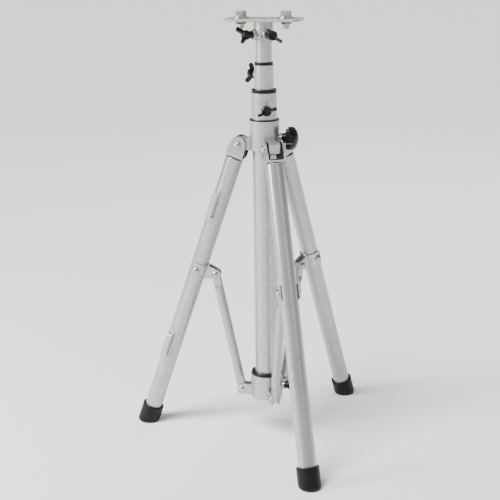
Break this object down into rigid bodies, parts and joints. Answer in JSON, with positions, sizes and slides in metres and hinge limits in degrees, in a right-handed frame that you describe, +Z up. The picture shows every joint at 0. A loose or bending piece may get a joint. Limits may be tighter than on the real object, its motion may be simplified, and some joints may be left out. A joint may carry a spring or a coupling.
{
  "type": "speaker tripod stand",
  "caption": "Floor-standing telescoping tripod stand with braced folding tubular legs, a sliding collar, clamping knobs and a rectangular bolted top plate.",
  "frame": {"origin": "on the floor, on the mast axis", "axes": "+Z up along the mast; +X along the top plate's long side and towards the hub and collar knobs; legs at 180, 300 and 60 degrees"},
  "size_m": [0.4495, 0.512, 0.8908],
  "materials": {
    "silver_paint": "satin silver-grey paint",
    "plate_paint": "satin warm light grey paint",
    "zinc": "zinc plated",
    "black_plastic": "semi-gloss black moulded plastic",
    "foot_rubber": "matt black rubber"
  },
  "bodies": {
    "mast": {"main_tube": "silver_paint", "main_tube_plug": "black_plastic", "main_sleeve": "silver_paint", "main_top_bush": "black_plastic", "hub_body": "silver_paint", "hub_bushes": "black_plastic", "leg_pivot_bolts": "zinc"},
    "middle": {"middle_tube": "silver_paint", "middle_top_bush": "black_plastic", "middle_foot_bush": "black_plastic"},
    "upper": {"upper_tube": "silver_paint", "upper_top_plug": "black_plastic", "upper_foot_bush": "black_plastic"},
    "head": {"top_plate": "plate_paint", "head_socket": "silver_paint", "head_set_screw": "zinc", "speaker_bolts": "zinc", "flat_washers": "zinc", "spring_washers": "zinc", "speaker_nuts": "zinc"},
    "collar": {"collar_body": "silver_paint", "collar_bush": "black_plastic", "collar_rivets": "zinc"},
    "head_lock_a": {"head_lock_a_knob": "black_plastic", "head_lock_a_screw": "zinc"},
    "head_lock_b": {"head_lock_b_knob": "black_plastic", "head_lock_b_screw": "zinc"},
    "upper_lock": {"upper_lock_knob": "black_plastic", "upper_lock_screw": "zinc"},
    "main_lock": {"main_lock_knob": "black_plastic", "main_lock_screw": "zinc"},
    "hub_lock": {"hub_lock_knob": "black_plastic", "hub_lock_screw": "zinc"},
    "collar_lock": {"collar_lock_knob": "black_plastic", "collar_lock_screw": "zinc"},
    "leg_1": {"leg_tube_1": "silver_paint", "leg_bracket_1": "silver_paint", "bracket_liner_1": "black_plastic", "bracket_screw_1": "zinc", "saddle_1": "silver_paint", "saddle_bolts_1": "zinc", "foot_1": "foot_rubber", "cable_hooks": "silver_paint"},
    "brace_1": {"brace_1": "silver_paint"},
    "leg_2": {"leg_tube_2": "silver_paint", "leg_bracket_2": "silver_paint", "bracket_liner_2": "black_plastic", "bracket_screw_2": "zinc", "saddle_2": "silver_paint", "saddle_bolts_2": "zinc", "foot_2": "foot_rubber"},
    "brace_2": {"brace_2": "silver_paint"},
    "leg_3": {"leg_tube_3": "silver_paint", "leg_bracket_3": "silver_paint", "bracket_liner_3": "black_plastic", "bracket_screw_3": "zinc", "saddle_3": "silver_paint", "saddle_bolts_3": "zinc", "foot_3": "foot_rubber"},
    "brace_3": {"brace_3": "silver_paint"}
  },
  "joints": [
    {"name": "middle_slide", "type": "slide", "parent": "mast", "child": "middle", "axis": [0, 0, 1], "range_m": [0, 0.45]},
    {"name": "upper_slide", "type": "slide", "parent": "middle", "child": "upper", "axis": [0, 0, 1], "range_m": [0, 0.45]},
    {"name": "head_pan", "type": "hinge", "parent": "upper", "child": "head", "pos_m": [0, 0, 0.8545], "axis": [0, 0, 1], "continuous": true},
    {"name": "head_lock_a_turn", "type": "hinge", "parent": "head", "child": "head_lock_a", "pos_m": [-0.03195, -0.02407, 0.8465], "axis": [-0.7986, -0.6018, 0], "continuous": true},
    {"name": "head_lock_b_turn", "type": "hinge", "parent": "head", "child": "head_lock_b", "pos_m": [0.02407, -0.03195, 0.8465], "axis": [0.6018, -0.7986, 0], "continuous": true},
    {"name": "upper_lock_turn", "type": "hinge", "parent": "middle", "child": "upper_lock", "pos_m": [-0.02973, 0.02677, 0.767], "axis": [-0.7431, 0.6691, 0], "continuous": true},
    {"name": "main_lock_turn", "type": "hinge", "parent": "mast", "child": "main_lock", "pos_m": [0.01236, -0.03804, 0.702], "axis": [0.309, -0.9511, 0], "continuous": true},
    {"name": "hub_lock_turn", "type": "hinge", "parent": "mast", "child": "hub_lock", "pos_m": [0.04, 0, 0.642], "axis": [1, 0, 0], "continuous": true},
    {"name": "collar_lock_turn", "type": "hinge", "parent": "collar", "child": "collar_lock", "pos_m": [0.04, 0, 0.109], "axis": [1, 0, 0], "continuous": true},
    {"name": "leg_1_fold", "type": "hinge", "parent": "mast", "child": "leg_1", "pos_m": [-0.052, 0, 0.6285], "axis": [0, -1, 0], "range_deg": [0, 14.4]},
    {"name": "leg_2_fold", "type": "hinge", "parent": "mast", "child": "leg_2", "pos_m": [0.026, -0.04503, 0.6285], "axis": [0.866, 0.5, 0], "range_deg": [-0.1, 14.5]},
    {"name": "leg_3_fold", "type": "hinge", "parent": "mast", "child": "leg_3", "pos_m": [0.026, 0.04503, 0.6285], "axis": [-0.866, 0.5, 0], "range_deg": [-0.1, 14.5]},
    {"name": "brace_1_swing", "type": "hinge", "parent": "leg_1", "child": "brace_1", "pos_m": [-0.10734, 0, 0.35026], "axis": [0, -1, 0], "range_deg": [-30.24, 0.1]},
    {"name": "brace_2_swing", "type": "hinge", "parent": "leg_2", "child": "brace_2", "pos_m": [0.05367, -0.09296, 0.35026], "axis": [0.866, 0.5, 0], "range_deg": [-30.24, 0.1]},
    {"name": "brace_3_swing", "type": "hinge", "parent": "leg_3", "child": "brace_3", "pos_m": [0.05367, 0.09296, 0.35026], "axis": [-0.866, 0.5, 0], "range_deg": [-30.24, 0.1]},
    {"name": "collar_travel", "type": "hinge", "parent": "brace_1", "child": "collar", "pos_m": [-0.054, 0, 0.0962], "axis": [0, -1, 0], "range_deg": [-0.1, 15.84]}
  ],
  "couplings": [
    {"joint": "leg_2_fold", "follows": "leg_1_fold", "ratio": 1},
    {"joint": "leg_3_fold", "follows": "leg_1_fold", "ratio": 1},
    {"joint": "brace_1_swing", "follows": "leg_1_fold", "ratio": -2.0933},
    {"joint": "brace_2_swing", "follows": "leg_1_fold", "ratio": -2.0933},
    {"joint": "brace_3_swing", "follows": "leg_1_fold", "ratio": -2.0933},
    {"joint": "collar_travel", "follows": "leg_1_fold", "ratio": 1.0933}
  ]
}
